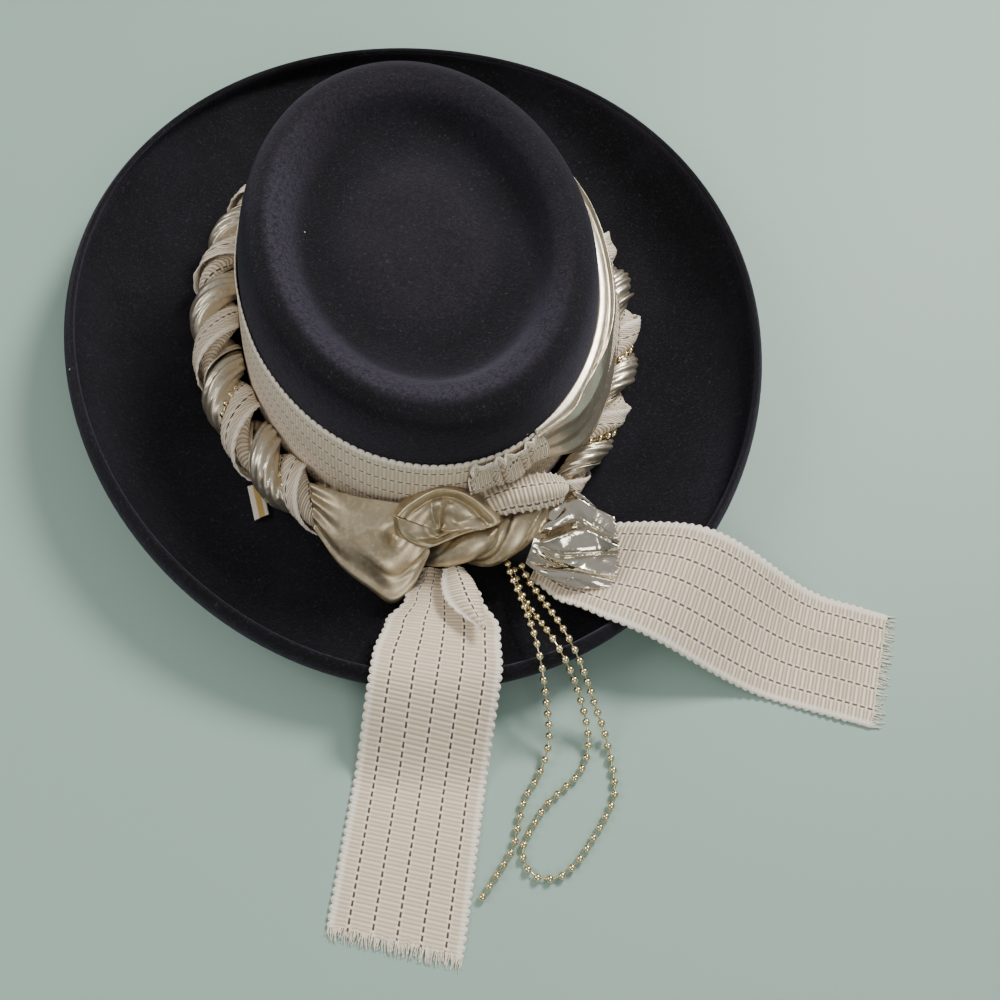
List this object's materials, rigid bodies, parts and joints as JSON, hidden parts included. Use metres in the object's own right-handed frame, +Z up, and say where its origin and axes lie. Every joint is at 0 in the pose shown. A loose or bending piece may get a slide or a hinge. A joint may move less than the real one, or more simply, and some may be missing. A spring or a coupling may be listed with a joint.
{
  "type": "rancher hat",
  "caption": "Dark felt rancher hat with a telescoped oval crown and a curled brim, tied with ribbed ribbon, a twist of metallic cloth, fringed tails and a ball chain.",
  "frame": {"origin": "under the middle of the box round the hat with its tails, on the surface that the hat lies on", "axes": "+Z up through the crown, the knot is towards -Y and the crown is longest along Y, +X is to the right of the knot"},
  "size_m": [0.36, 0.4772, 0.096],
  "materials": {
    "felt": "matt felt, near black with a violet cast",
    "ribbon": "cream ribbed ribbon with dark stitch lines",
    "metallic_cloth": "champagne metallic cloth, satin",
    "beads": "pale gold, bright"
  },
  "bodies": {
    "root": {"felt_body": "felt", "ribbon_band": "ribbon", "lame_band": "metallic_cloth", "twist_lame": "metallic_cloth", "twist_ribbon": "ribbon", "twist_chain": "beads", "tail_left": "ribbon", "tail_right": "ribbon", "bead_strand": "beads", "bead_loop": "beads", "lame_wrap": "metallic_cloth", "lame_rosette": "metallic_cloth", "lame_end": "metallic_cloth", "lame_flap": "metallic_cloth", "ribbon_loop": "ribbon", "ribbon_ruffle": "ribbon", "ribbon_end_tab": "ribbon"}
  },
  "joints": []
}
